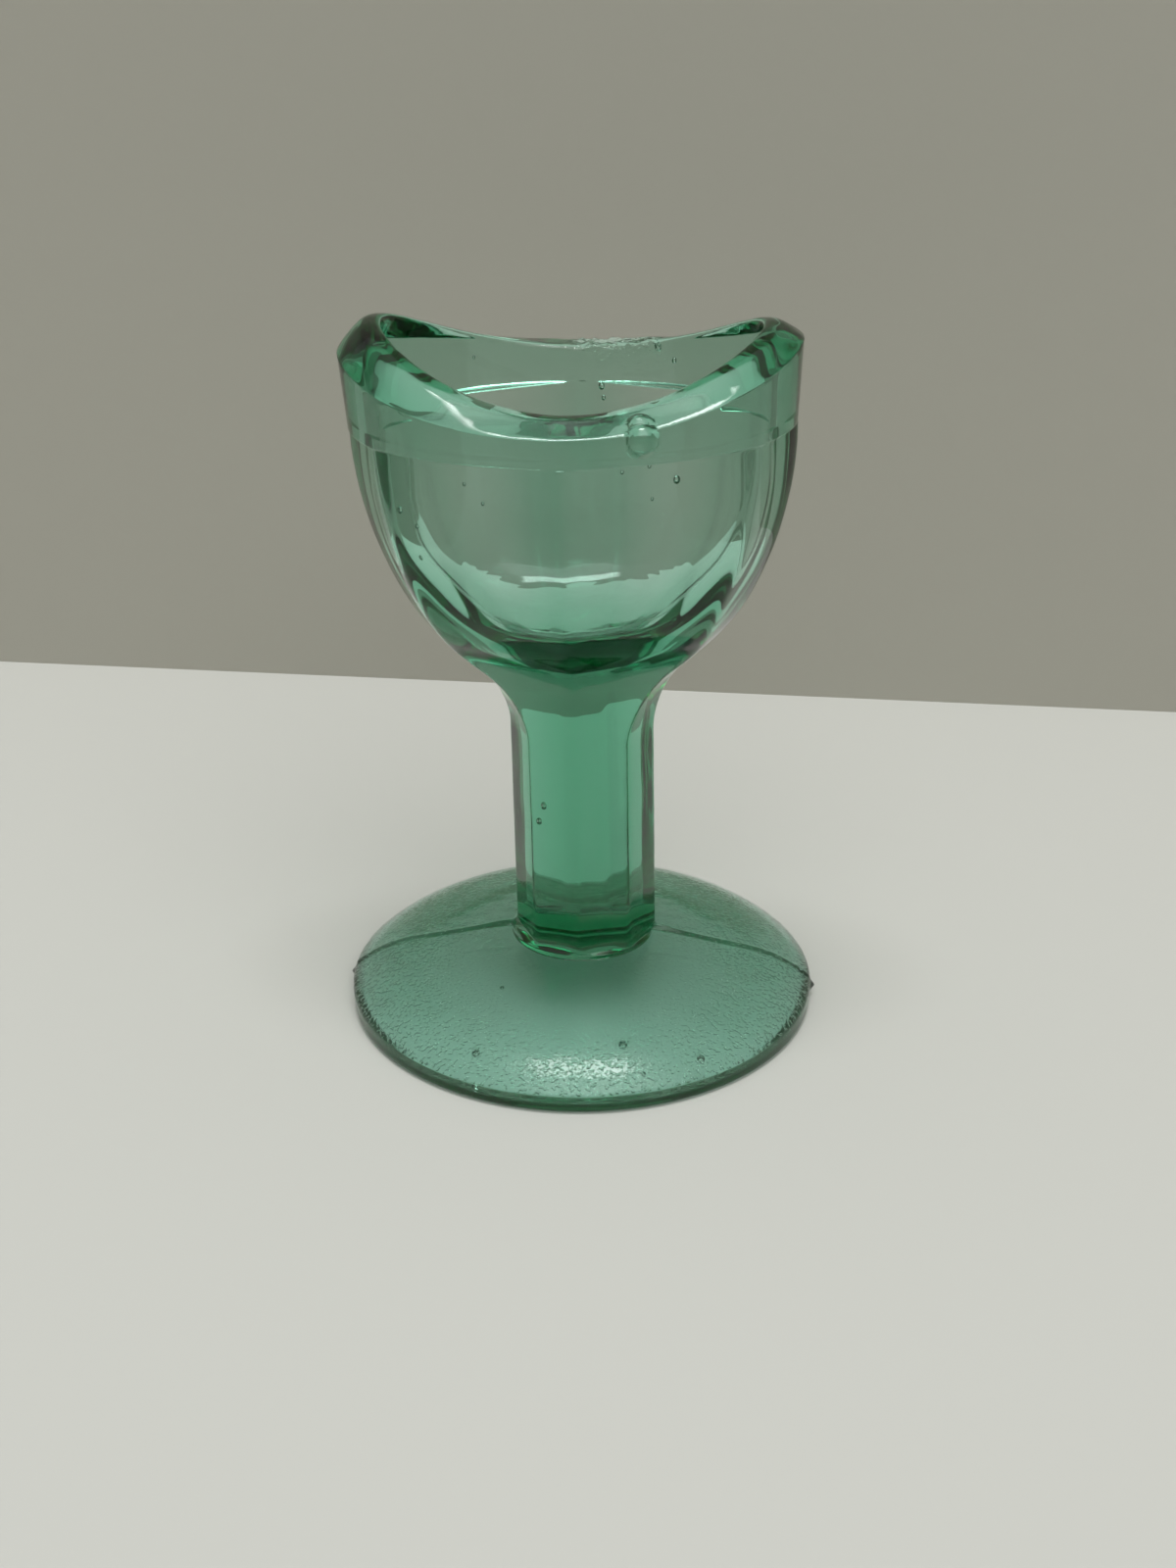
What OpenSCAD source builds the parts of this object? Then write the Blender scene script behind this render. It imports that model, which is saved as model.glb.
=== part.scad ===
// Pedestal eye bath in pressed glass.
// A round hollow foot, an eight-sided stem, a panelled oval bowl and a dipped
// rim that follows the eye socket. The real one is pressed in one piece, so the
// four regions meet face to face with no clearance.
// Millimetres. +Z is up, +X is the long axis of the oval, and the origin is the
// centre of the resting plane.

/* [Foot] */

// Diameter of the round foot
foot_d = 44; // [38:0.2:54]

// Height of the flat seat that carries the stem
foot_h = 6.6; // [5.8:0.1:8.4]

// Diameter of the flat seat
foot_seat_d = 16.4; // [16.2:0.1:19]

// Height of the upright outer edge
foot_edge_h = 1.8; // [0.9:0.1:2.4]

// Fall of the top surface away from the seat, in degrees
foot_fall = 12; // [8:0.5:15]

// Radius of the rounded shoulder above the edge
foot_shoulder_r = 13; // [10:0.5:15]

// Width of the flat ring that the foot rests on
foot_ring_w = 2; // [1.2:0.1:3]

// Depth of the hollow under the foot
foot_hollow_h = 4.4; // [2.4:0.1:4.6]

// Small bevel around the bottom of the edge
foot_bevel = 0.5; // [0.2:0.05:0.7]

// Height of the mould seam above the foot
seam_h = 0.25; // [0.15:0.05:0.5]

// Width of the mould seam
seam_w = 0.6; // [0.4:0.05:1]

// How far the seam stands out beyond the edge of the foot
seam_nib = 0.5; // [0.3:0.05:0.9]

/* [Stem] */

// Distance across two opposite flats of the stem
stem_d = 12.1; // [10.6:0.1:12.4]

// Height of the stem, from the seat to the neck of the bowl
stem_h = 21.1; // [14:0.1:34]

// How far each flat spreads at the bottom of the stem
stem_flare = 1.2; // [0.6:0.1:1.2]

// Radius of that spread on the flats that face the ends
end_flare_r = 2; // [1.4:0.1:2.1]

// Radius of that spread on the flats that face the sides
side_flare_r = 2.4; // [2.2:0.1:4]

/* [Panels] */

// Direction that the four end panels face, in degrees from +X
end_panel_turn = 25; // [22.5:0.5:27]

// Direction that the four side panels face, in degrees from +X
side_panel_turn = 68; // [66:0.5:69]

/* [Bowl] */

// Length of the panelled bowl from arris to arris, along X
bowl_long = 39.5; // [38:0.1:40]

// Depth of the panelled bowl from arris to arris, along Y
bowl_short = 28.8; // [27.6:0.1:29]

// Radius of the hollow curve where every panel runs into the stem
neck_r = 9; // [7:0.5:11]

// Radius of the upper curve of the end panels
end_upper_r = 35.5; // [32:0.5:45]

// Radius of the lower curve of the end panels
end_lower_r = 19; // [18.5:0.5:21]

// Angle at which the two curves of the end panels meet
end_split = 25.5; // [14:0.5:28]

// Radius of the upper curve of the side panels
side_upper_r = 73; // [66:1:76]

// Radius of the lower curve of the side panels
side_lower_r = 11; // [10.5:0.1:12]

// Angle at which the two curves of the side panels meet
side_split = 10; // [9:0.5:11]

/* [Cup] */

// Length of the oval inside, along X
cup_long = 31.8; // [30:0.1:33]

// Depth of the oval inside, along Y
cup_short = 21; // [19:0.1:21.4]

// Thickness of solid glass between the neck and the inside
cup_floor = 8.1; // [5:0.1:9]

/* [Rim] */

// Length of the plain oval band, along X
rim_long = 40; // [40:0.1:42]

// Depth of the plain oval band, along Y
rim_short = 29; // [29:0.1:31]

// Height of the band where the rim dips lowest
rim_low = 4; // [2.6:0.1:8]

// Radius of the dip seen from the front
rim_dip_r = 32; // [30:1:70]

// Height of the rounded part of the lip
lip_h = 1.2; // [0.8:0.1:2]

/* [Hidden] */

$fn = 96;
glass_tint = [0.36, 0.66, 0.52];
arc_steps = 16;
end_flare_steps = 8;
side_flare_steps = 7;
lip_steps = 10;
rim_steps = 96;

// Foot
foot_r = foot_d / 2;
foot_seat_r = foot_seat_d / 2;
foot_ring_r = foot_r - foot_ring_w;
foot_hollow_r = (pow(foot_ring_r, 2) + pow(foot_hollow_h, 2)) / (2 * foot_hollow_h);
foot_hollow_turn = asin(foot_ring_r / foot_hollow_r);

// Centre of the shoulder, tangent to the sloping top and running to the edge
fall_along = [cos(foot_fall), -sin(foot_fall)];
fall_into = [-sin(foot_fall), -cos(foot_fall)];
edge_reach = [foot_r - foot_seat_r, foot_edge_h - foot_h] - foot_shoulder_r * fall_into;
edge_along = edge_reach * fall_along;
edge_room = pow(edge_along, 2) - edge_reach * edge_reach + pow(foot_shoulder_r, 2);
fall_length = edge_along - sqrt(edge_room);
shoulder_at = [foot_seat_r, foot_h] + fall_length * fall_along + foot_shoulder_r * fall_into;
shoulder_end = atan2(foot_edge_h - shoulder_at.y, foot_r - shoulder_at.x);

// Stem
stem_r = stem_d / 2;
stem_top = foot_h + stem_h;

// Bowl: reach of a panel at the band, then the centres of its three curves
end_reach = bowl_long / 2 * cos(end_panel_turn);
side_reach = bowl_short / 2 * sin(side_panel_turn);
neck_x = stem_r + neck_r;
end_lower_x = end_reach - end_upper_r + (end_upper_r - end_lower_r) * cos(end_split);
end_neck_rise = sqrt(pow(end_lower_r + neck_r, 2) - pow(neck_x - end_lower_x, 2));
bowl_h = end_neck_rise + (end_upper_r - end_lower_r) * sin(end_split);
bowl_top = stem_top + bowl_h;

// Cup
cup_bottom = stem_top + cup_floor;
cup_h = bowl_top - cup_bottom;

// Long enough to pass through the whole bowl
panel_length = 2 * rim_long;

// Points along an arc, both ends included
function arc(centre, radius, from, to, steps = arc_steps) =
    [for (i = [0:steps])
        let (turn = from + (to - from) * i / steps)
        centre + radius * [cos(turn), sin(turn)]];

// Top of the foot, from the seat out to the edge
function foot_top() =
    concat(
        [[foot_seat_r, foot_h]],
        arc(shoulder_at, foot_shoulder_r, 90 - foot_fall, shoulder_end)
    );

// Right half of the foot, from the axis
function foot_outline() =
    concat(
        [[0, foot_h]],
        foot_top(),
        [[foot_r, foot_bevel], [foot_r - foot_bevel, 0]],
        arc([0, foot_hollow_h - foot_hollow_r], foot_hollow_r, 90 - foot_hollow_turn, 90)
    );

// Seam on one side of the foot; its lower line stays inside the glass
function seam_outline() =
    concat(
        [for (p = foot_top()) p + [0, seam_h]],
        [[foot_r + seam_nib, foot_edge_h], [foot_r + seam_nib, foot_bevel]],
        [[foot_r - 2 * foot_bevel, foot_bevel], [foot_seat_r, foot_h - 1]]
    );

// Right half of a stem flat, with the spread at the bottom
function stem_outline(flare_r, steps) =
    let (rise = sqrt(pow(flare_r, 2) - pow(flare_r - stem_flare, 2)))
    concat(
        [[0, foot_h]],
        arc([stem_r + flare_r, foot_h + rise], flare_r, 180 + asin(rise / flare_r), 180, steps),
        [[stem_r, stem_top], [0, stem_top]]
    );

// Right half of a bowl panel, up from the neck to the band
function panel_outline(reach, upper_r, lower_r, split) =
    let (
        upper_at = [reach - upper_r, bowl_top],
        lower_at = upper_at + (upper_r - lower_r) * [cos(split), -sin(split)],
        neck_rise = sqrt(pow(lower_r + neck_r, 2) - pow(neck_x - lower_at.x, 2)),
        neck_at = [neck_x, lower_at.y - neck_rise],
        meet = asin(neck_rise / (lower_r + neck_r))
    )
    concat(
        [[0, stem_top], [stem_r, stem_top]],
        neck_at.y > stem_top + 0.01 ? [[stem_r, neck_at.y]] : [],
        [for (i = [1:arc_steps])
            neck_at + neck_r * [cos(180 - meet * i / arc_steps), sin(180 - meet * i / arc_steps)]],
        [for (i = [1:arc_steps])
            let (turn = -meet + (meet - split) * i / arc_steps)
            lower_at + lower_r * [cos(turn), sin(turn)]],
        [for (i = [1:arc_steps])
            let (turn = -split + split * i / arc_steps)
            upper_at + upper_r * [cos(turn), sin(turn)]],
        [[0, bowl_top]]
    );

// A half outline joined to its mirror image
function both_sides(half) =
    concat(half, [for (i = [len(half) - 1:-1:0]) if (half[i].x > 0) [-half[i].x, half[i].y]]);

// Height of the crest of the lip above the dip, at a distance from the middle
function crest_rise(x) = rim_dip_r - sqrt(pow(rim_dip_r, 2) - pow(x, 2));

// Cross-section of the rim at one station around the oval
function rim_section(turn) =
    let (
        outer = [rim_long / 2 * cos(turn), rim_short / 2 * sin(turn)],
        inner = [cup_long / 2 * cos(turn), cup_short / 2 * sin(turn)],
        middle = (outer + inner) / 2,
        half = (outer - inner) / 2,
        crest = bowl_top + rim_low + crest_rise(middle.x)
    )
    concat(
        [[outer.x, outer.y, bowl_top]],
        [for (i = [0:lip_steps])
            let (
                lean = 180 * i / lip_steps,
                place = middle + half * cos(lean)
            )
            [place.x, place.y, crest - lip_h * (1 - sin(lean))]],
        [[inner.x, inner.y, bowl_top]]
    );

// Two opposite flats of the stem or bowl, facing one direction
module flat_pair(turn, half) {
    rotate([0, 0, turn])
        rotate([90, 0, 0])
            linear_extrude(height = panel_length, center = true)
                polygon(both_sides(half));
}

// Eight flats: two pairs at the ends and two pairs at the sides
module eight_flats(end_half, side_half) {
    intersection() {
        flat_pair(end_panel_turn, end_half);
        flat_pair(-end_panel_turn, end_half);
        flat_pair(side_panel_turn, side_half);
        flat_pair(-side_panel_turn, side_half);
    }
}

// Round foot with a hollow underneath and the mould seam across it
module foot() {
    color(glass_tint)
    union() {
        rotate_extrude()
            polygon(foot_outline());
        for (side = [0, 180])
            rotate([0, 0, side])
                rotate([90, 0, 0])
                    linear_extrude(height = seam_w, center = true)
                        polygon(seam_outline());
    }
}

// Solid eight-sided stem standing on the seat of the foot
module stem() {
    color(glass_tint)
    eight_flats(
        stem_outline(end_flare_r, end_flare_steps),
        stem_outline(side_flare_r, side_flare_steps)
    );
}

// Eight curved panels outside, a plain oval hollow inside
module bowl() {
    color(glass_tint)
    difference() {
        eight_flats(
            panel_outline(end_reach, end_upper_r, end_lower_r, end_split),
            panel_outline(side_reach, side_upper_r, side_lower_r, side_split)
        );
        translate([0, 0, bowl_top])
            scale([cup_long / 2, cup_short / 2, cup_h])
                sphere(r = 1);
    }
}

// Plain oval band, dipped at the front and back, with a rounded lip
module rim() {
    ring = [for (i = [0:rim_steps - 1]) rim_section(360 * i / rim_steps)];
    row = len(ring[0]);
    points = [for (section = ring) for (p = section) p];
    faces = [
        for (i = [0:rim_steps - 1])
            for (j = [0:row - 1])
                let (
                    a = i * row + j,
                    b = i * row + (j + 1) % row,
                    c = (i + 1) % rim_steps * row + (j + 1) % row,
                    d = (i + 1) % rim_steps * row + j
                )
                each [[a, b, c], [a, c, d]]
    ];
    color(glass_tint)
    polyhedron(points = points, faces = faces, convexity = 6);
}

foot();
stem();
bowl();
rim();
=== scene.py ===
import math
import bpy
import numpy as np
from mathutils import Matrix, Vector


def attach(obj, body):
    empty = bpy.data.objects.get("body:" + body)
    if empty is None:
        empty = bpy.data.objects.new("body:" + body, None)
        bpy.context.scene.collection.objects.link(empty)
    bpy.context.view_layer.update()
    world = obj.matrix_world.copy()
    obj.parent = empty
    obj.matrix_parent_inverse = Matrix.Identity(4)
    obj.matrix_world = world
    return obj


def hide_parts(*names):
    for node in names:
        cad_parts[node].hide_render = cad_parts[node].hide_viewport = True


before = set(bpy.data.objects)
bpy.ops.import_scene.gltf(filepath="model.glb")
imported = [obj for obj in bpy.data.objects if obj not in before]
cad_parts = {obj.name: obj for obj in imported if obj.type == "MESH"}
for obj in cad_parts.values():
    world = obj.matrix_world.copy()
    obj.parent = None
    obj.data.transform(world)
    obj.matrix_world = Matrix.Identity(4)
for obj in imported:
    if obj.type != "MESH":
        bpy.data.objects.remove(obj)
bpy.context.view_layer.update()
mm = 0.001


class Value:  # a shader socket that takes part in Python arithmetic
    def __init__(self, tree, socket):
        self.tree, self.socket = tree, socket

    def maths(self, operation, left, right=0.0):
        return self.tree.node("ShaderNodeMath", {"operation": operation}, {0: left, 1: right})

    def __add__(self, other):
        return self.maths("ADD", self, other)

    def __radd__(self, other):
        return self.maths("ADD", other, self)

    def __sub__(self, other):
        return self.maths("SUBTRACT", self, other)

    def __mul__(self, other):
        return self.maths("MULTIPLY", self, other)

    def __rmul__(self, other):
        return self.maths("MULTIPLY", other, self)

    def __truediv__(self, other):
        return self.maths("DIVIDE", self, other)

    def __abs__(self):
        return self.maths("ABSOLUTE", self)


class Tree:  # a material's or world's nodes
    def __init__(self, owner):
        owner.use_nodes = True
        self.tree = owner.node_tree
        self.tree.nodes.clear()

    def node(self, kind, settings=None, inputs=None, out=0):
        made = self.tree.nodes.new(kind)
        for name, value in (settings or {}).items():
            if name == "stops":
                ramp = made.color_ramp
                while len(ramp.elements) < len(value):
                    ramp.elements.new(0.5)
                for stop, (place, colour) in zip(ramp.elements, value):
                    stop.position, stop.color = place, colour
            else:
                setattr(made, name, value)
        for name, value in (inputs or {}).items():
            if isinstance(value, Value):
                self.tree.links.new(value.socket, made.inputs[name])
            else:
                made.inputs[name].default_value = value
        return Value(self, made.outputs[out]) if len(made.outputs) else made


def pickNothing():
    if bpy.context.object and bpy.context.object.mode != "OBJECT":
        bpy.ops.object.mode_set(mode="OBJECT")
    bpy.ops.object.select_all(action="DESELECT")


# glass body sizes in mm: outside close to the part's solids, inside as the light through the glass shows
body = dict(
    footR=22.0, footTop=6.6, seatR=8.2, edgeTop=1.8, fall=12.0, shoulderR=13.0,
    ringIn=20.0, hollow=4.4, hollowEnd=0.3, ringSoft=((-0.12, 0.03), (0.15, 0.0)), restEnd=0.5,
    edgeRound=0.5, edgeSoft=(0.12, 0.03),
    poleR=0.35,       # the smallest ring under the foot
    seamHigh=0.22, seamHalf=0.24, webHigh=0.7, webLong=1.0, webTop=1.6,
    nibOut=0.45, nibHalf=0.4, nibAt=1.0,
    stemFlat=6.05, stemTop=27.7,
    padR=6.7, padOut=0.05, padRise=0.12, padStep=0.5, padFillet=1.1,  # round spread under the stem
    padSteps=((0.3, 0.0), (0.12, 0.0), (0.03, 0.12), (0.0, 0.4), (0.0, 0.7), (-0.04, 0.9), (-0.12, 1.0)),
    endTurn=25.0, sideTurn=68.0, endReach=39.5 / 2, sideReach=28.8 / 2, neckR=9.0,
    endArcs=(35.5, 19.0, 25.5), sideArcs=(73.0, 11.0, 10.0),  # upper radius, lower radius, split angle
    bandLong=19.9, bandShort=14.5, bandTaper=0.45,  # the band draws in towards its lower edge
    cupLong=16.25, cupShort=10.5, cupFloor=7.7, cupShift=0.2,
    cupDeep=3.6,      # end to end, higher is fuller
    cupTip=30, cupLeast=0.2,  # how the last rings close, front to back
    cupDraft=0.06, cupRound=0.17,  # front to back, with the slope, depth and softness of two bends
    cupSlopes=((0.18, 10.3, 0.6), (0.85, 15.4, 0.6)),
    rimLow=3.85, dipR=31.5, dipShift=0.6,
    lipOut=0.2, lipIn=0.5, lipCrest=0.6, lipBack=0.25, lipPower=2.6, lipSoft=(0.12, 0.4),
    lipFace=(1.05, 0.2),  # how far the lip falls outwards at the front and back
    lipFall=(1.25, 2.4),  # and at its +X and -X ends
    lipTurn=(6, 2),   # how sharply the ends' fall gives way at the back and front
    panelEnd=0.25,    # gap from the panels' last ring up to the band
    ledge=((0.02, -0.14), (0.08, -0.06), (0.3, 0.0), (0.6, 0.04), (0.86, 0.1), (0.97, 0.2)),
    ledgeHigh=0.34,   # height of the step from the panels out to the band
    columns=32,       # faces along each of the eight panels
    arris=46.0,       # higher is sharper
    lean=1.4, leanOver=6.0,  # the bowl leans a little to -X, in degrees, from the neck up
    shiftLow=0.45, shiftHigh=0.15, shiftOver=1.0,  # and the stem stands a little off the middle of the foot
    seatSlack=0.01, seatOver=0.6,  # what counts as the foot's seat, outwards and upwards
)
# steps in each part of the net, and along each arc that the panels follow
counts = dict(
    hollow=20, edge=5, side=6, shoulder=26, fall=17, fillet=12, stem=26, arc=60, panel=92,
    band=13, lip=23, lipInside=15, bandInside=10, cup=54)

# how far each surface strays from its true form, and over what length, in mm
waves = dict(
    footTop=(0.010, 1.7), stem=(0.008, 5.0), panel=(0.008, 4.5), lip=(0.010, 2.2), cup=(0.010, 3.6))
waveMix = dict(count=9, pace=(0.7, 1.4))  # waves that are summed, and the spread of their pace
# where the skin is stippled, ringed or rough, with places and lengths in mm
skin = dict(
    peelFrom=10.0, peelOver=8.0, peelLeast=0.2,  # stipple grows towards the edge of the foot
    backFrom=0.9, backOver=6.0, backLeast=0.45,  # and the back half came out smoother
    ringsTop=7.0, ringsOver=2.0, calmTop=5.0, calmOver=6.0,  # above the bottom of the cup
    ringsY=-1.0, ringsSoft=2.0,
    roughX=2.6, roughY=9.0, roughZ=2.0, roughFull=1.5, roughHalf=3.4,  # at the back of the lip
    roughHigh=0.14, roughWave=1.0, roughSeed=11, roughPeel=1.5)


def sinD(a):
    return math.sin(math.radians(a))


def cosD(a):
    return math.cos(math.radians(a))


def arcPoints(centre, r, a, b, n, skipFirst=False):
    return [(centre[0] + r * cosD(t), centre[1] + r * sinD(t))
            for t in np.linspace(a, b, n + 1)[1 if skipFirst else 0:]]


def panelCurve(reach, upperR, lowerR, split, top):
    b = body
    upper = (reach - upperR, top)
    lower = (upper[0] + (upperR - lowerR) * cosD(split), upper[1] - (upperR - lowerR) * sinD(split))
    neckX = b["stemFlat"] + b["neckR"]
    rise = math.sqrt((lowerR + b["neckR"]) ** 2 - (neckX - lower[0]) ** 2)
    meet = math.degrees(math.asin(rise / (lowerR + b["neckR"])))
    neck = (neckX, lower[1] - rise)
    points = [(b["stemFlat"], b["stemTop"] - 5), (b["stemFlat"], neck[1])]
    points += arcPoints(neck, b["neckR"], 180, 180 - meet, counts["arc"], True)
    points += arcPoints(lower, lowerR, -meet, -split, counts["arc"], True)
    points += arcPoints(upper, upperR, -split, 0, counts["arc"], True)
    return np.array(points)


def bowlTop():
    b = body
    upperR, lowerR, split = b["endArcs"]
    reach = b["endReach"] * cosD(b["endTurn"])
    lowerX = reach - upperR + (upperR - lowerR) * cosD(split)
    rise = math.sqrt((lowerR + b["neckR"]) ** 2 - (b["stemFlat"] + b["neckR"] - lowerX) ** 2)
    return b["stemTop"] + rise + (upperR - lowerR) * sinD(split)


top = bowlTop()
endCurve = panelCurve(body["endReach"] * cosD(body["endTurn"]), *body["endArcs"], top)
sideCurve = panelCurve(body["sideReach"] * sinD(body["sideTurn"]), *body["sideArcs"], top)
cupDepth = top - body["stemTop"] - body["cupFloor"]


def panelReach(z):
    return np.interp(z, endCurve[:, 1], endCurve[:, 0]), np.interp(z, sideCurve[:, 1], sideCurve[:, 0])


def panelColumns(endDist, sideDist):
    # polar angle of each column, following the arrises of an eight-sided section
    b = body
    c1, s1, c2, s2 = cosD(b["endTurn"]), sinD(b["endTurn"]), cosD(b["sideTurn"]), sinD(b["sideTurn"])
    det = c1 * s2 - s1 * c2
    corner = np.array([(endDist * s2 - sideDist * s1) / det, (sideDist * c1 - endDist * c2) / det])
    endCorner, sideCorner = np.array([endDist / c1, 0.0]), np.array([0.0, sideDist / s2])
    s = np.linspace(0, 1, b["columns"] + 1)[:-1]
    s = s - 0.5 * np.sin(2 * np.pi * s) / (2 * np.pi)  # the columns crowd towards the arrises
    first = endCorner + s[:, None] * (corner - endCorner)
    second = corner + s[:, None] * (sideCorner - corner)
    quarter = np.concatenate([first, second, [sideCorner]])
    turn = np.arctan2(quarter[:, 1], quarter[:, 0])
    half = np.concatenate([turn, np.pi - turn[-2::-1]])
    return np.concatenate([half[:-1], -half[::-1][:-1] % (2 * np.pi)])


def panelRadius(turn, endDist, sideDist):
    b = body
    gauge = np.zeros_like(turn)
    for angle, dist in ((b["endTurn"], endDist), (b["sideTurn"], sideDist)):
        for face in (angle, 180 - angle, 180 + angle, -angle):
            gauge += np.maximum(np.cos(turn - math.radians(face)) / dist, 0) ** b["arris"]
    return gauge ** (-1 / b["arris"])


def ovalRadius(turn, long, short):
    return 1 / np.sqrt((np.cos(turn) / long) ** 2 + (np.sin(turn) / short) ** 2)


def cupRadius(turn, below):
    # front to back the cup keeps its width further down than end to end
    b = body
    deep = cupDepth * below
    long = b["cupLong"] * max(0.0, 1 - below ** b["cupDeep"])
    short = b["cupShort"] - b["cupDraft"] * deep
    for slope, start, soft in b["cupSlopes"]:
        short -= slope * soft * math.log1p(math.exp((deep - start) / soft))
    short = max(b["cupLeast"], short - b["cupRound"] * max(0, deep - start) ** 2)
    return ovalRadius(turn, long, short * max(0.0, 1 - below ** b["cupTip"]) ** 0.5)


def ring(turn, r, z, shift=0.0):
    z = np.broadcast_to(z, turn.shape)
    return np.stack([r * np.cos(turn) + shift, r * np.sin(turn), z], 1)


def hollowHeight(r):
    b = body
    hollowR = (b["ringIn"] ** 2 + b["hollow"] ** 2) / (2 * b["hollow"])
    return b["hollow"] - hollowR + math.sqrt(hollowR ** 2 - r ** 2)


def footTopCurve():
    # from the edge in to the seat: a round shoulder, then a straight fall
    b = body
    along = np.array([cosD(b["fall"]), -sinD(b["fall"])])
    into = np.array([-sinD(b["fall"]), -cosD(b["fall"])])
    reach = np.array([b["footR"] - b["seatR"], b["edgeTop"] - b["footTop"]]) - b["shoulderR"] * into
    run = reach @ along - math.sqrt((reach @ along) ** 2 - reach @ reach + b["shoulderR"] ** 2)
    centre = np.array([b["seatR"], b["footTop"]]) + run * along + b["shoulderR"] * into
    end = math.degrees(math.atan2(b["edgeTop"] - centre[1], b["footR"] - centre[0]))
    points = arcPoints(centre, b["shoulderR"], end + 1.0, 90 - b["fall"], counts["shoulder"])
    start = np.array(points[-1])
    seat = np.array([b["seatR"], b["footTop"]])
    return points + [tuple(start + (seat - start) * s) for s in np.linspace(0, 1, counts["fall"])[1:]]


def footRings(turn):
    b, e = body, body["edgeRound"]
    below, corner = b["edgeSoft"]
    under = np.linspace(b["poleR"], b["ringIn"] - b["hollowEnd"], counts["hollow"])
    rings = [("hollow", ring(turn, r, hollowHeight(r))) for r in under]
    for out, z in b["ringSoft"]:
        rings.append(("rest", ring(turn, b["ringIn"] + out, z)))
    rings.append(("rest", ring(turn, b["footR"] - e - b["restEnd"], 0.0)))
    for r, z in arcPoints((b["footR"] - e, e), e, -90, 0, counts["edge"]):
        rings.append(("edge", ring(turn, r, z)))
    for z in np.linspace(e, b["edgeTop"] - below, counts["side"])[1:]:
        rings.append(("edge", ring(turn, b["footR"], z)))
    rings.append(("edge", ring(turn, b["footR"] - corner, b["edgeTop"] - corner)))
    for r, z in footTopCurve():
        rings.append(("footTop", ring(turn, r, z)))
    for tag, points in rings:  # mould seam across the foot, with a nib at each end
        if tag == "footTop":
            near = np.exp(-(points[:, 1] / b["seamHalf"]) ** 2)
            points[:, 2] += (b["seamHigh"] + seamWeb(points)) * near
        if tag == "edge":
            aside, above = points[:, 1] / b["nibHalf"], (points[:, 2] - b["nibAt"]) / b["nibHalf"]
            points[:, 0] += np.sign(points[:, 0]) * b["nibOut"] * np.exp(-aside ** 2 - above ** 2)
    return rings


def seamWeb(points):
    # the seam climbs a little where it meets the stem
    b = body
    out = np.maximum(np.hypot(points[:, 0], points[:, 1]) - b["padR"], 0)
    low = np.clip(1 - (points[:, 2] - b["footTop"]) / b["webTop"], 0, 1)
    return b["webHigh"] * np.exp(-out / b["webLong"]) * low


def stemRings(turn):
    b = body
    flat = panelRadius(turn, b["stemFlat"], b["stemFlat"])
    pad = np.maximum(b["padR"], flat + b["padOut"])
    low = b["footTop"] + (b["seatR"] - pad) * b["padRise"]  # a slight rise from the seat
    high = low + b["padStep"] * np.abs(np.sin(turn))
    rings = []
    for out, s in b["padSteps"]:  # up the side of the pad
        rings.append(("pad", ring(turn, pad + np.minimum(out, b["seatR"] - pad), low + (high - low) * s)))
    for t in np.linspace(0, 90, counts["fillet"])[2:]:
        r = flat + (pad - flat) * (1 - sinD(t))
        rings.append(("pad", ring(turn, r, high + b["padFillet"] * (1 - cosD(t)))))
    for _, points in rings:
        points[:, 2] += seamWeb(points) * np.exp(-(points[:, 1] / b["seamHalf"]) ** 2)
    for s in np.linspace(0, 1, counts["stem"])[1:]:
        rings.append(("stem", ring(turn, flat, (high + b["padFillet"]) * (1 - s) + b["stemTop"] * s)))
    return rings


def bowlRings():
    rings = []
    for z in np.linspace(body["stemTop"], top - body["panelEnd"], counts["panel"])[1:]:
        turn = panelColumns(*panelReach(z))
        rings.append(("panel", ring(turn, panelRadius(turn, *panelReach(z)), z)))
    return rings, turn


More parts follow.
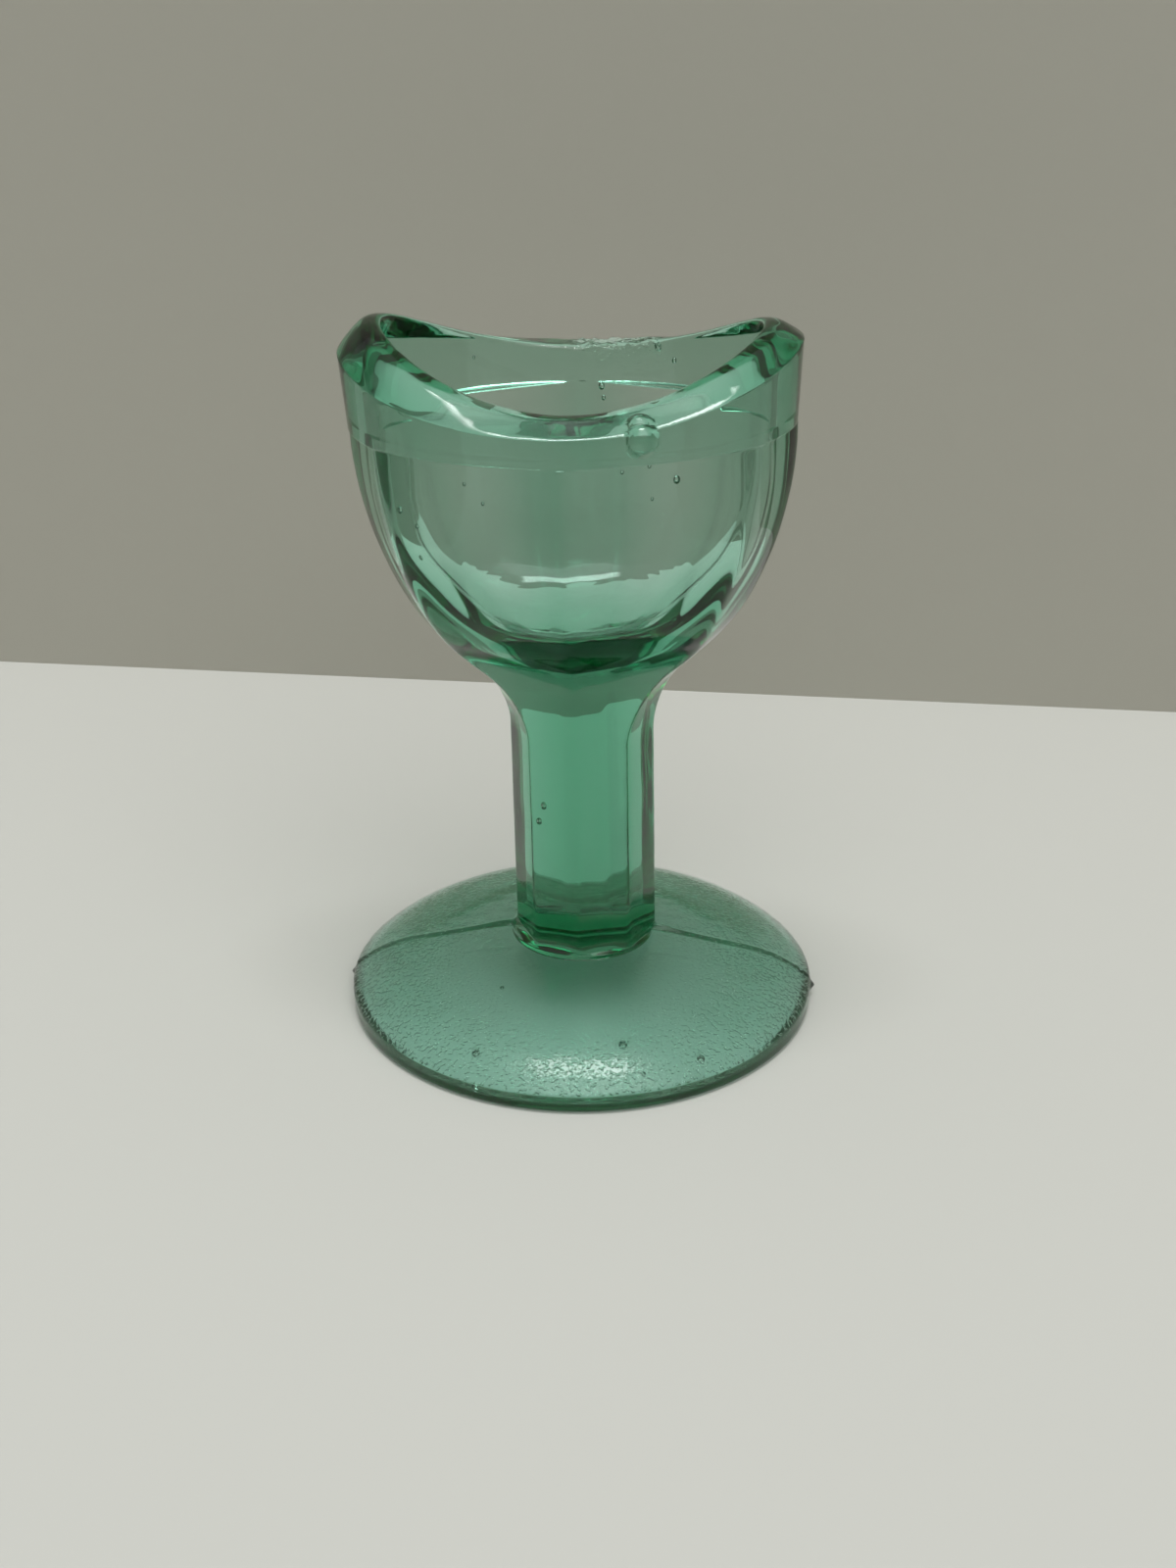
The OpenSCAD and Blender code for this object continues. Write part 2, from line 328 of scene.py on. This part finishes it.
def rimRings(turn, inner):
    b = body
    outer = ovalRadius(turn, b["bandLong"], b["bandShort"])
    cup = ovalRadius(turn, b["cupLong"], b["cupShort"])
    low = outer - b["bandTaper"]
    rings = []
    for s, high in b["ledge"] + ((1.0, b["ledgeHigh"]),):  # out from the panels to the band
        rings.append(("ledge", ring(turn, inner + (low - inner) * s, top + high)))
    back = 0.5 + 0.5 * np.sin(turn)
    share = b["lipCrest"] + b["lipBack"] * back  # the crest stands nearer the cup at the back
    crestR = outer + (cup - outer) * share
    dip = np.sqrt(b["dipR"] ** 2 - (crestR * np.cos(turn) - b["dipShift"]) ** 2)
    crest = top + b["rimLow"] + b["dipR"] - dip
    end = (np.cos(turn) < 0).astype(int)
    fall = b["lipFace"][0] + (b["lipFace"][1] - b["lipFace"][0]) * back
    power = np.where(np.sin(turn) > 0, *b["lipTurn"])
    fall += (np.array(b["lipFall"])[end] - fall) * np.abs(np.cos(turn)) ** power
    edge = crest - b["lipOut"] - fall
    for s in np.linspace(0, 1, counts["band"])[1:]:
        z = (top + b["ledgeHigh"]) * (1 - s) + edge * s
        rings.append(("band", ring(turn, outer - b["bandTaper"] * (1 - s), z)))
    p = 2 / b["lipPower"]
    soft = b["lipSoft"][0] + (b["lipSoft"][1] - b["lipSoft"][0]) * np.cos(turn) ** 2
    for t in np.linspace(0, 90, counts["lip"])[1:]:
        s = 1 - cosD(t) ** p  # 0 at the outer edge, 1 at the crest
        slope = (np.hypot(1 - s, soft) - soft) / (np.hypot(1, soft) - soft)
        z = crest - b["lipOut"] * (1 - sinD(t) ** p) - fall * slope
        rings.append(("lip", ring(turn, outer + (crestR - outer) * s, z, b["cupShift"] * s * share)))
    for t in np.linspace(90, 0, counts["lipInside"])[1:]:
        s = cosD(t) ** p
        z = crest - b["lipIn"] * (1 - sinD(t) ** p)
        shift = b["cupShift"] * (share + (1 - share) * s)
        rings.append(("lip", ring(turn, crestR + (cup - crestR) * s, z, shift)))
    for s in np.linspace(0, 1, counts["bandInside"])[1:]:
        rings.append(("cup", ring(turn, cup, (crest - b["lipIn"]) * (1 - s) + top * s, b["cupShift"])))
    for t in np.linspace(0, 89.3, counts["cup"])[1:]:  # stops just short of the bottom
        below = sinD(t) ** (2 / b["cupDeep"])
        rings.append(("cup", ring(turn, cupRadius(turn, below), top - cupDepth * below, b["cupShift"])))
    return rings


def settle(place):
    # the stem stands off the middle and the bowl leans, as the pressing came out of the mould
    b = body
    heights = [b["footTop"], b["footTop"] + b["shiftOver"], b["stemTop"]]
    offset = np.interp(place[:, 2], heights, [0, b["shiftLow"], b["shiftHigh"]])
    inside = np.hypot(place[:, 0], place[:, 1]) < b["seatR"] + b["seatSlack"]
    offset = np.where((place[:, 2] < b["footTop"] + b["seatOver"]) & ~inside, 0, offset)
    lift = np.clip((place[:, 2] - b["stemTop"]) / b["leanOver"], 0, 1)
    swing = math.radians(b["lean"]) * lift * lift * (3 - 2 * lift)
    height = place[:, 2] - b["stemTop"]
    return np.stack([offset + place[:, 0] * np.cos(swing) - height * np.sin(swing), place[:, 1],
                     b["stemTop"] + height * np.cos(swing) + place[:, 0] * np.sin(swing)], 1)


def ripple(place, wave, seed):
    rng = np.random.default_rng(seed)
    total = np.zeros(len(place))
    for _ in range(waveMix["count"]):
        way = rng.normal(size=3)
        pace = 2 * math.pi / wave * rng.uniform(*waveMix["pace"]) / np.linalg.norm(way)
        total += np.sin(place @ way * pace + rng.uniform(0, 2 * math.pi))
    return total / math.sqrt(waveMix["count"])


def glassBody():
    stemTurn = panelColumns(body["stemFlat"], body["stemFlat"])
    panels, turn = bowlRings()
    rings = footRings(stemTurn) + stemRings(stemTurn) + panels
    rings += rimRings(turn, np.linalg.norm(panels[-1][1][:, :2], axis=1))
    count = len(turn)
    pickNothing()
    bpy.ops.mesh.primitive_circle_add(vertices=count, radius=1.0, fill_type="NOTHING")
    piece = bpy.context.object
    piece.name = piece.data.name = "glassBody"
    bpy.ops.object.mode_set(mode="EDIT")
    bpy.ops.mesh.select_mode(type="EDGE")
    bpy.ops.mesh.select_all(action="SELECT")
    for _ in rings[1:]:
        bpy.ops.mesh.extrude_edges_move(TRANSFORM_OT_translate={"value": (0, 0, 0.01)})
    bpy.ops.object.mode_set(mode="OBJECT")
    place = settle(np.concatenate([points for _, points in rings]))
    piece.data.vertices.foreach_set("co", (place * mm).ravel())
    piece.data.update()
    bpy.ops.object.mode_set(mode="EDIT")  # both poles are closed with a fan
    bpy.ops.mesh.select_mode(type="EDGE")
    bpy.ops.mesh.select_all(action="DESELECT")
    bpy.ops.mesh.select_non_manifold(extend=False)
    bpy.ops.mesh.edge_face_add()
    bpy.ops.mesh.select_mode(type="FACE")
    bpy.ops.mesh.poke()
    bpy.ops.mesh.select_all(action="SELECT")
    bpy.ops.mesh.normals_make_consistent(inside=False)
    bpy.ops.object.mode_set(mode="OBJECT")
    bpy.ops.object.shade_smooth()
    addWaves(piece, np.repeat([tag for tag, _ in rings], count))
    addBeads(piece)
    print("glass body", len(piece.data.vertices), "points", len(piece.data.polygons), "faces")
    return piece


def addWaves(piece, tags):
    k = skin
    total = len(piece.data.vertices)
    place, normal = np.zeros(total * 3), np.zeros(total * 3)
    piece.data.vertices.foreach_get("co", place)
    piece.data.vertices.foreach_get("normal", normal)
    place, normal = place.reshape(-1, 3) / mm, normal.reshape(-1, 3)
    push, peel, chill = np.zeros(total), np.zeros(total), np.zeros(total)
    for seed, (tag, (high, wave)) in enumerate(waves.items()):
        chosen = np.flatnonzero(tags == tag)
        push[chosen] = high * ripple(place[chosen], wave, seed)
        if tag == "cup":  # the plunger left fine rings at the back, near the bottom, which has no waves
            high = place[chosen, 2] - body["stemTop"] - body["cupFloor"]
            push[chosen] *= np.clip((high - k["calmTop"]) / k["calmOver"], 0, 1)
            chill[chosen] = np.clip((k["ringsTop"] - high) / k["ringsOver"], 0, 1)
            chill[chosen] *= np.clip((place[chosen, 1] - k["ringsY"]) / k["ringsSoft"], 0, 1)
    chosen = np.flatnonzero(tags == "footTop")
    out = np.hypot(place[chosen, 0], place[chosen, 1])
    peel[chosen] = np.clip((out - k["peelFrom"]) / k["peelOver"], k["peelLeast"], 1)
    peel[chosen] *= np.clip(k["backFrom"] - place[chosen, 1] / k["backOver"], k["backLeast"], 1)
    _, y, z = place[:len(tags)].T
    lipBack = np.isin(tags, ("lip", "cup")) & (y > k["roughY"]) & (z > top + k["roughZ"])
    chosen = np.flatnonzero(lipBack)  # a rough patch at the back of the lip
    rough = np.clip(k["roughFull"] - np.abs(place[chosen, 0] - k["roughX"]) / k["roughHalf"], 0, 1)
    peel[chosen] = k["roughPeel"] * rough
    push[chosen] += k["roughHigh"] * rough * ripple(place[chosen], k["roughWave"], k["roughSeed"])
    piece.data.vertices.foreach_set("co", ((place + normal * push[:, None]) * mm).ravel())
    for name, values in (("peel", peel), ("chill", chill)):  # for the bumps of the material
        piece.data.attributes.new(name, "FLOAT", "POINT").data.foreach_set("value", values)
    piece.data.update()


# seeds in the glass: turn in degrees, height in mm, share of the wall from inside, radius in mm
wallSeeds = (
    (207.7, 51.2, 0.6, 0.26), (211.7, 49.9, 0.5, 0.18), (201.2, 45.6, 0.6, 0.24), (230.9, 54.3, 0.5, 0.16),
    (237.3, 52.7, 0.4, 0.15), (313.7, 54.4, 0.5, 0.3), (304.8, 53.0, 0.5, 0.14), (303.3, 55.9, 0.6, 0.16),
    (293.0, 55.6, 0.5, 0.16), (81.0, 56.4, 0.5, 0.3), (80.2, 55.3, 0.5, 0.2), (51.2, 59.0, 0.5, 0.24),
    (58.3, 60.0, 0.6, 0.32), (133.0, 59.6, 0.5, 0.14), (231.7, 21.6, 0.8, 0.3), (225.6, 19.9, 0.8, 0.28))
# and in the foot: turn, distance from the middle, radius
footSeeds = (
    (286.6, 16.7, 0.4), (243.9, 18.7, 0.36), (234.3, 11.4, 0.2), (306.5, 19.6, 0.36), (290.0, 19.6, 0.2))
seedTall = 1.25  # seeds in the wall are a little taller than wide
# two beads that run together on the front of the lip: middle and radius in mm
beads = dict(
    spots=(((6.1, -13.6, 59.1), 1.4), ((5.9, -13.0, 59.9), 1.15)),
    out=(0.2, -0.87, 0.44), tall=0.85, margin=0.6, reach=1.5, cuts=4)


def wallSpan(turn, z):
    b = body
    turn = np.array([math.radians(turn)])
    if z < b["stemTop"]:
        return 0.0, panelRadius(turn, b["stemFlat"], b["stemFlat"])[0]
    if z < top:
        return cupRadius(turn, (top - z) / cupDepth)[0], panelRadius(turn, *panelReach(z))[0]
    return cupRadius(turn, 0.0)[0], ovalRadius(turn, b["bandLong"], b["bandShort"])[0]


def seedPlaces():
    for turn, z, share, radius in wallSeeds:
        inner, outer = wallSpan(turn, z)
        r = inner + (outer - inner) * share
        yield (r * cosD(turn), r * sinD(turn), z), (radius, radius, seedTall * radius)
    curve = np.array(footTopCurve())[::-1]
    for turn, r, radius in footSeeds:
        z = (np.interp(r, curve[:, 0], curve[:, 1]) + hollowHeight(r)) / 2
        yield (r * cosD(turn), r * sinD(turn), z), (radius, radius, radius)


def addBeads(piece):
    out = np.array(beads["out"]) / np.linalg.norm(beads["out"])
    faces = piece.data.polygons
    middle = np.zeros(len(faces) * 3)
    faces.foreach_get("center", middle)
    near = np.zeros(len(faces), bool)
    for spot, radius in beads["spots"]:
        gap = middle.reshape(-1, 3) / mm - spot
        near |= np.linalg.norm(gap, axis=1) < radius + beads["margin"]
    bpy.ops.object.mode_set(mode="EDIT")  # a finer net where the beads are
    bpy.ops.mesh.select_mode(type="FACE")
    bpy.ops.mesh.select_all(action="DESELECT")
    bpy.ops.object.mode_set(mode="OBJECT")
    piece.data.polygons.foreach_set("select", near)
    bpy.ops.object.mode_set(mode="EDIT")
    bpy.ops.mesh.subdivide(number_cuts=beads["cuts"])
    bpy.ops.object.mode_set(mode="OBJECT")
    place = np.zeros(len(piece.data.vertices) * 3)
    piece.data.vertices.foreach_get("co", place)
    place = place.reshape(-1, 3) / mm
    for spot, radius in beads["spots"]:
        gap = place - spot
        along = gap @ out
        aside = np.linalg.norm(gap - along[:, None] * out, axis=1)
        rise = beads["tall"] * np.sqrt(np.maximum(radius ** 2 - aside ** 2, 0)) - along
        inside = (aside < radius) & (np.abs(along) < beads["reach"]) & (rise > 0)
        place[inside] += rise[inside, None] * out
    piece.data.vertices.foreach_set("co", (place * mm).ravel())
    piece.data.update()


def addSeeds(piece):
    # a seed is an inner shell of the same mesh, facing into its own hollow
    made = []
    for place, radius in seedPlaces():
        pickNothing()
        at = settle(np.array([place]))[0] * mm
        bpy.ops.mesh.primitive_uv_sphere_add(segments=20, ring_count=12, radius=1, location=at)
        seed = bpy.context.object
        seed.scale = np.array(radius) * mm
        made.append(seed)
    pickNothing()
    for seed in made:
        seed.select_set(True)
    bpy.context.view_layer.objects.active = made[0]
    bpy.ops.object.join()
    bpy.ops.object.transform_apply(location=True, rotation=True, scale=True)
    bpy.ops.object.mode_set(mode="EDIT")
    bpy.ops.mesh.select_all(action="SELECT")
    bpy.ops.mesh.flip_normals()
    bpy.ops.object.mode_set(mode="OBJECT")
    bpy.ops.object.shade_smooth()
    piece.select_set(True)
    bpy.context.view_layer.objects.active = piece
    bpy.ops.object.join()
    print("seeds", len(made))


# tint as absorption per metre of glass; the volume's colour is worked out from it and the density
glass = dict(
    absorb=(160.0, 53.5, 90.0), density=180.0, ior=1.5,
    peelScale=2600.0, peelHigh=0.00006, peelEdge=(0.5, 0.66), grainShare=0.6,
    ringPace=2 * math.pi / 0.0006, ringHigh=0.1, driftScale=260.0, driftTurn=9.0)


def glassMaterial():
    g = glass
    material = bpy.data.materials.new("greenGlass")
    tree = Tree(material)
    where = tree.node("ShaderNodeTexCoord", out="Object")
    peel = tree.node("ShaderNodeAttribute", {"attribute_name": "peel"}, {}, "Fac")
    grain = tree.node("ShaderNodeTexNoise", {}, {"Vector": where, "Scale": g["peelScale"], "Detail": 2.0})
    pits = tree.node("ShaderNodeMapRange", {"interpolation_type": "SMOOTHSTEP"}, {
        "Value": grain, "From Min": g["peelEdge"][0], "From Max": g["peelEdge"][1]})
    chill = tree.node("ShaderNodeAttribute", {"attribute_name": "chill"}, {}, "Fac")
    drift = tree.node("ShaderNodeTexNoise", {}, {"Vector": where, "Scale": g["driftScale"], "Detail": 1.0})
    height = tree.node("ShaderNodeSeparateXYZ", {}, {0: where}, "Z")
    rings = chill.maths("SINE", height * g["ringPace"] + drift * g["driftTurn"]) * chill * g["ringHigh"]
    bump = tree.node("ShaderNodeBump", {}, {
        "Strength": 1.0, "Distance": g["peelHigh"],
        "Height": (pits + grain * g["grainShare"]) * peel + rings})
    shader = tree.node("ShaderNodeBsdfPrincipled", {}, {
        "Base Color": (1, 1, 1, 1), "Roughness": 0.0, "IOR": g["ior"], "Transmission Weight": 1.0,
        "Normal": bump})
    tint = tuple(1 - a / g["density"] for a in g["absorb"]) + (1,)
    volume = tree.node("ShaderNodeVolumeAbsorption", {}, {"Color": tint, "Density": g["density"]})
    tree.node("ShaderNodeOutputMaterial", {}, {"Surface": shader, "Volume": volume})
    return material


bodyPiece = glassBody()
addSeeds(bodyPiece)
bodyPiece.data.materials.append(glassMaterial())
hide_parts("foot", "stem", "bowl", "rim")
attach(bodyPiece, "root")

# stage, in metres
stage = dict(
    floorHalf=4.0, floorDrop=0.00008, floorTone=(0.58, 0.585, 0.55),
    # under the foot the floor carries a painted pool of light, a paler disc standing in for light that
    # passes through the glass
    paintedPoolR=0.0205, paintedPoolTone=(0.8, 0.82, 0.8),
    wallY=0.0736, wallTurn=-3.0, wallHalf=0.22, wallFade=0.25, cardHigh=0.2, wallTone=(0.45, 0.44, 0.385),
    sideX=0.095, sideY=-0.012, sideLong=0.17, sideTone=(0.42, 0.42, 0.36),
    roomR=2.5, roomHigh=2.0)


def paper(name, tone):
    material = bpy.data.materials.new(name)
    tree = Tree(material)
    shader = tree.node("ShaderNodeBsdfDiffuse", {}, {"Color": tone + (1,)})
    tree.node("ShaderNodeOutputMaterial", {}, {"Surface": shader})
    return material


def wallPaper():
    # the card is clear from behind, and its ends fade out
    s = stage
    material = bpy.data.materials.new("greyCard")
    tree = Tree(material)
    front = tree.node("ShaderNodeBsdfDiffuse", {}, {"Color": s["wallTone"] + (1,)})
    clear = tree.node("ShaderNodeBsdfTransparent")
    behind = tree.node("ShaderNodeNewGeometry", {}, {}, "Backfacing")
    where = tree.node("ShaderNodeTexCoord", out="Object")
    side = abs(tree.node("ShaderNodeSeparateXYZ", {}, {0: where}, "X"))
    end = tree.node("ShaderNodeMapRange", {"interpolation_type": "SMOOTHSTEP"}, {
        "Value": side, "From Min": s["wallFade"], "From Max": 0.5})
    gone = behind.maths("MAXIMUM", behind, end)
    mixed = tree.node("ShaderNodeMixShader", {}, {0: gone, 1: front, 2: clear})
    tree.node("ShaderNodeOutputMaterial", {}, {"Surface": mixed})
    return material


def card(name, material, x, y, turn, long):
    high = stage["cardHigh"]
    upright = (math.radians(90), 0, math.radians(turn))
    pickNothing()
    bpy.ops.mesh.primitive_plane_add(size=1, location=(x, y, high / 2), rotation=upright)
    made = bpy.context.object
    made.name = name
    made.scale = (long, high, 1)
    made.data.materials.append(material)
    return made


def plainStage():
    s = stage
    pickNothing()
    bpy.ops.mesh.primitive_plane_add(size=2 * s["floorHalf"], location=(0, 0, -s["floorDrop"]))
    floor = bpy.context.object
    floor.name = "floor"
    floor.data.materials.append(paper("palePaper", s["floorTone"]))
    pickNothing()
    bpy.ops.mesh.primitive_circle_add(
        vertices=96, radius=s["paintedPoolR"], fill_type="NGON", location=(0, 0, -s["floorDrop"] / 2))
    paintedPool = bpy.context.object
    paintedPool.name = "paintedLightDisc"  # a painted pool of light, standing in for the light the glass lets through onto the floor; it lightens the foot from below, and stays hidden under it
    # one pale paper serves both the pale room all round and the painted pool of light under the foot
    roomAndPaintedPool = paper("paleRoomAndPaintedLightPaper", s["paintedPoolTone"])
    paintedPool.data.materials.append(roomAndPaintedPool)
    cards = [card("wall", wallPaper(), 0, s["wallY"], s["wallTurn"], 2 * s["wallHalf"])]
    dark = paper("darkCard", s["sideTone"])
    for name, x, turn in (("leftCard", -s["sideX"], 90), ("rightCard", s["sideX"], -90)):
        cards.append(card(name, dark, x, s["sideY"], turn, s["sideLong"]))
        for ray in ("camera", "diffuse", "glossy", "shadow"):  # met only by what passes through the glass
            setattr(cards[-1], "visible_" + ray, False)
    pickNothing()
    bpy.ops.mesh.primitive_cylinder_add(
        vertices=96, radius=s["roomR"], depth=s["roomHigh"], end_fill_type="NOTHING",
        location=(0, 0, s["roomHigh"] / 2 - s["floorDrop"]))
    room = bpy.context.object
    room.name = "paleRoom"
    bpy.ops.object.shade_smooth()
    room.data.materials.append(roomAndPaintedPool)
    room.visible_diffuse = room.visible_shadow = False


# soft light all round, with one long lamp overhead and a broad one in front, so the shadow falls behind
light = dict(
    roomTones=[(0.0, 0.1), (0.5, 0.12), (0.75, 0.22), (0.9, 0.55), (1.0, 0.75)], roomBlue=0.96,
    stripTone=16.5, stripLong=(0.2, 0.3), stripWide=(0.05, 0.09), stripBack=-0.07, lowest=0.05,
    paneWay=(0.16, -0.56, 0.81), panePart=(0.86, 0.94), paneTone=1.9)


def softLight():
    s = light
    world = bpy.data.worlds.new("softRoom")
    bpy.context.scene.world = world
    tree = Tree(world)
    way = tree.node("ShaderNodeTexCoord", out="Generated")
    parts = [tree.node("ShaderNodeSeparateXYZ", {}, {0: way}, axis) for axis in "XYZ"]
    stops = [(place, (tone, tone, s["roomBlue"] * tone, 1)) for place, tone in s["roomTones"]]
    room = tree.node("ShaderNodeValToRGB", {"stops": stops}, {0: parts[2] * 0.5 + 0.5})
    up = parts[2].maths("MAXIMUM", parts[2], s["lowest"])
    long, wide = parts[0] / up, parts[1] / up - s["stripBack"]
    strip = 1.0
    for along, (full, none) in ((long, s["stripLong"]), (wide, s["stripWide"])):
        strip = strip * tree.node("ShaderNodeMapRange", {"interpolation_type": "SMOOTHSTEP"}, {
            "Value": abs(along), "From Min": full, "From Max": none, "To Min": 1.0, "To Max": 0.0})
    facing = sum((part * share for part, share in zip(parts, s["paneWay"])), 0.0)
    pane = tree.node("ShaderNodeMapRange", {"interpolation_type": "SMOOTHSTEP"}, {
        "Value": facing, "From Min": s["panePart"][0], "From Max": s["panePart"][1]})
    lamp = tree.node("ShaderNodeBackground", {}, {
        "Color": (1, 1, 1, 1), "Strength": strip * s["stripTone"] + pane * s["paneTone"]})
    sky = tree.node("ShaderNodeBackground", {}, {"Color": room, "Strength": 1.0})
    both = tree.node("ShaderNodeAddShader", {}, {0: sky, 1: lamp})
    tree.node("ShaderNodeOutputWorld", {}, {"Surface": both})


# the camera stands where the photograph was taken from
camera = dict(
    place=(13.6345, -189.2940, 112.6357), pitch=25.582, turn=3.914, roll=-0.255,
    lens=51.98, sensor=36, clip=(0.005, 20))


def photoCamera():
    c = camera
    bpy.ops.object.camera_add()
    eye = bpy.context.object
    eye.name = "photoCamera"
    eye.location = Vector(c["place"]) * mm
    turned = Matrix.Rotation(math.radians(c["turn"]), 3, "Z")
    turned = turned @ Matrix.Rotation(math.radians(90 - c["pitch"]), 3, "X")
    turned = turned @ Matrix.Rotation(math.radians(c["roll"]), 3, "Z")
    eye.rotation_euler = turned.to_euler()
    eye.data.sensor_fit = "AUTO"
    eye.data.sensor_width = eye.data.sensor_height = c["sensor"]
    eye.data.lens = c["lens"]
    eye.data.clip_start, eye.data.clip_end = c["clip"]
    bpy.context.scene.camera = eye


plainStage()
softLight()
photoCamera()
scene = bpy.context.scene
scene.view_settings.view_transform = "Standard"
scene.cycles.max_bounces, scene.cycles.transmission_bounces = 32, 28
scene.cycles.glossy_bounces = 16
print("stage, light and camera set")

pickNothing()
